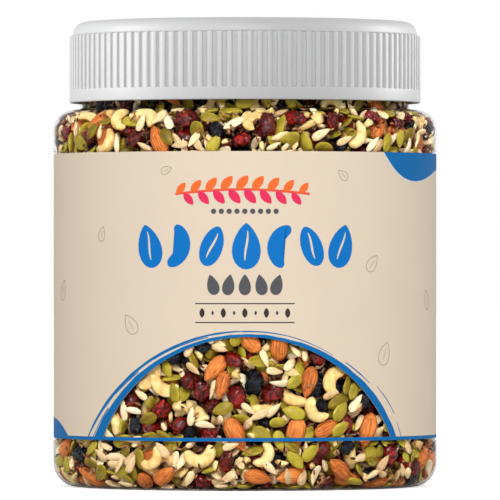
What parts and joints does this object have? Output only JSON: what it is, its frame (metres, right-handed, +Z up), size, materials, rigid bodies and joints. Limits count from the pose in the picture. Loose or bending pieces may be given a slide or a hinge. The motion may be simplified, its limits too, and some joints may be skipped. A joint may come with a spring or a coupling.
{
  "type": "jar of trail mix",
  "caption": "Clear screw-top plastic jar filled with trail mix, with a ribbed white cap and a beige and blue wrap label with an arched window.",
  "frame": {"origin": "centre of the jar's foot ring, on the jar's axis, at the level that it stands on", "axes": "+Z up along the jar's axis, towards the cap; the label's window faces -Y"},
  "size_m": [0.16, 0.16, 0.1936],
  "materials": {
    "clear_plastic": "clear, glossy",
    "cap_plastic": "satin white",
    "label_film": "satin print",
    "nuts_and_seeds": "matte"
  },
  "bodies": {
    "root": {"jar": "clear_plastic", "cap": "cap_plastic", "label": "label_film", "trail_mix": "nuts_and_seeds"}
  },
  "joints": []
}
